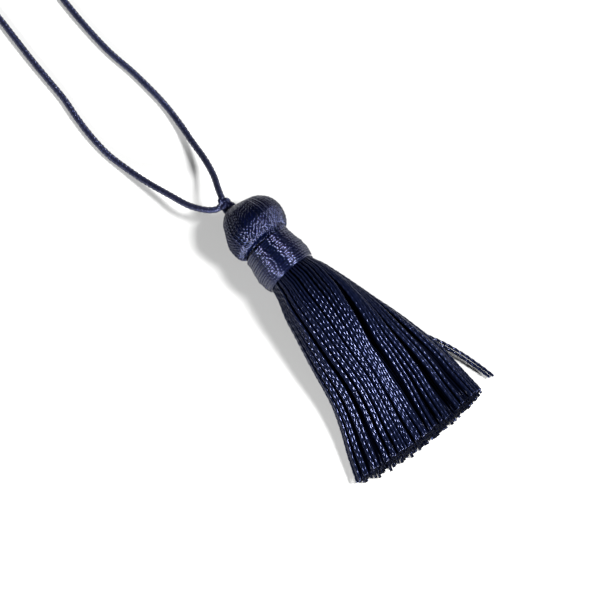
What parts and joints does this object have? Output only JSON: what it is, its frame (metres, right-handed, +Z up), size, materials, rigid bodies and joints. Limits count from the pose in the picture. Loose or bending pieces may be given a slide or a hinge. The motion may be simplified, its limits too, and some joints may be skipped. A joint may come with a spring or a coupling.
{
  "type": "tassel",
  "caption": "Silky navy tassel with a rounded head, a wound neck binding and a fanned skirt of twisted strands, hung on a knotted loop of fine cord.",
  "frame": {"origin": "middle of the tassel's box without its loop and knot, on the surface that it lies on", "axes": "+X from the head towards the cut end of the skirt, +Z up, +Y to the left when looking from the head to the skirt"},
  "size_m": [0.1678, 0.0404, 0.0155],
  "materials": {
    "head_thread": "twisted silky viscose thread, folded over, with a lavender-blue sheen",
    "binding_floss": "fine silky floss wound close, with two soft highlights along the neck",
    "skirt_strands": "two-ply twisted silky strands with a glint on each twist, cut square",
    "knotted_cord": "fine braided cord pulled into a small knot",
    "loop_cord": "fine round braided cord, softly shiny"
  },
  "bodies": {
    "root": {"head": "head_thread", "binding": "binding_floss", "skirt": "skirt_strands", "knot": "knotted_cord", "cord_loop": "loop_cord"}
  },
  "joints": []
}
